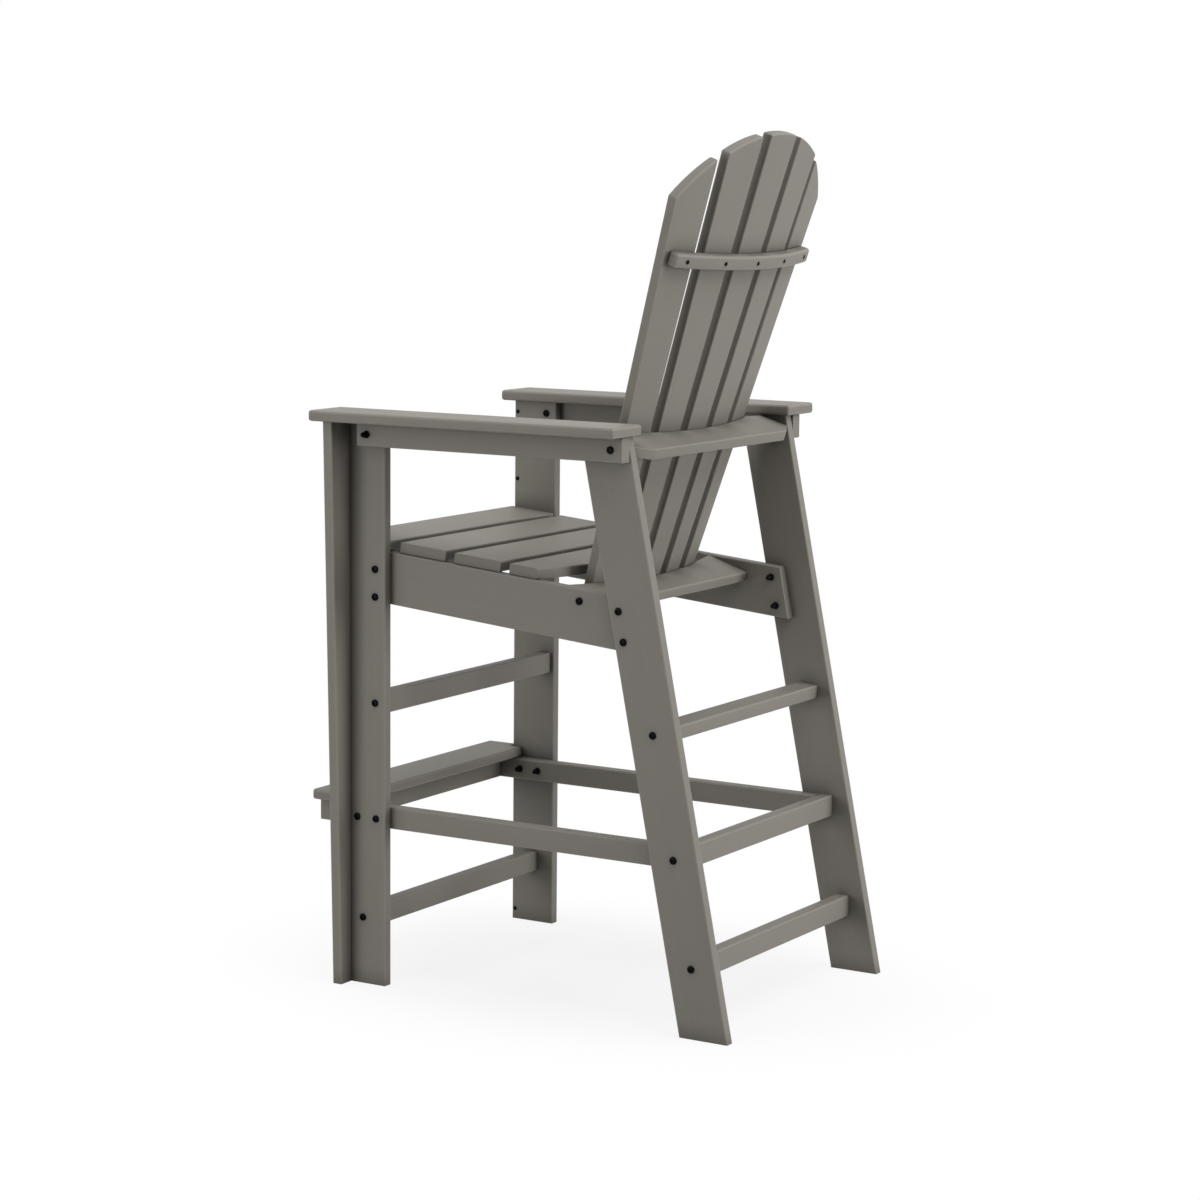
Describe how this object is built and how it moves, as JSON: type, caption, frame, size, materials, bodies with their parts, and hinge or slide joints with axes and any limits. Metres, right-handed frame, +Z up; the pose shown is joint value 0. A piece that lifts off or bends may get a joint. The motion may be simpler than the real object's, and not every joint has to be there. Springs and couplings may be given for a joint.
{
  "type": "bar chair",
  "caption": "Bar-height slatted armchair of plastic lumber boards, with a curved fan back, sloping seat, flat arms, a footrest and open stretchers.",
  "frame": {"origin": "on the floor, under the middle of the chair's footprint", "axes": "+Z up; the sitter faces -Y; +X is the sitter's left"},
  "size_m": [0.702, 0.8433, 1.4925],
  "materials": {
    "plastic_lumber": "grey solid plastic lumber, finely brushed, eased edges",
    "black_bolt": "black coated steel, satin"
  },
  "bodies": {
    "root": {"arm_rail_bolt_left": "black_bolt", "arm_rail_bolt_right": "black_bolt", "arm_rail_left": "plastic_lumber", "arm_rail_right": "plastic_lumber", "armrest_left": "plastic_lumber", "armrest_right": "plastic_lumber", "back_brace": "plastic_lumber", "back_slat_1": "plastic_lumber", "back_slat_2": "plastic_lumber", "back_slat_3": "plastic_lumber", "back_slat_4": "plastic_lumber", "back_slat_5": "plastic_lumber", "footrest": "plastic_lumber", "footrest_rail": "plastic_lumber", "front_leg_left": "plastic_lumber", "front_leg_rib_left": "plastic_lumber", "front_leg_rib_right": "plastic_lumber", "front_leg_right": "plastic_lumber", "lower_back_support": "plastic_lumber", "lower_front_stretcher": "plastic_lumber", "lower_front_stretcher_bolt_left": "black_bolt", "lower_front_stretcher_bolt_right": "black_bolt", "lower_rear_stretcher": "plastic_lumber", "lower_rear_stretcher_bolt_left": "black_bolt", "lower_rear_stretcher_bolt_right": "black_bolt", "lower_support_bolt_left": "black_bolt", "lower_support_bolt_right": "black_bolt", "middle_rear_stretcher": "plastic_lumber", "middle_rear_stretcher_bolt_left": "black_bolt", "middle_rear_stretcher_bolt_right": "black_bolt", "rear_leg_left": "plastic_lumber", "rear_leg_right": "plastic_lumber", "seat_apron": "plastic_lumber", "seat_rail_front_bolt_1_left": "black_bolt", "seat_rail_front_bolt_1_right": "black_bolt", "seat_rail_front_bolt_2_left": "black_bolt", "seat_rail_front_bolt_2_right": "black_bolt", "seat_rail_left": "plastic_lumber", "seat_rail_rear_bolt_1_left": "black_bolt", "seat_rail_rear_bolt_1_right": "black_bolt", "seat_rail_rear_bolt_2_left": "black_bolt", "seat_rail_rear_bolt_2_right": "black_bolt", "seat_rail_right": "plastic_lumber", "seat_slat_1": "plastic_lumber", "seat_slat_2": "plastic_lumber", "seat_slat_3": "plastic_lumber", "seat_slat_4": "plastic_lumber", "side_stretcher_left": "plastic_lumber", "side_stretcher_right": "plastic_lumber", "upper_back_support": "plastic_lumber", "upper_front_stretcher": "plastic_lumber", "upper_front_stretcher_bolt_left": "black_bolt", "upper_front_stretcher_bolt_right": "black_bolt", "upper_rear_stretcher": "plastic_lumber", "upper_rear_stretcher_bolt_left": "black_bolt", "upper_rear_stretcher_bolt_right": "black_bolt", "upper_support_bolt_left": "black_bolt", "upper_support_bolt_right": "black_bolt"}
  },
  "joints": []
}
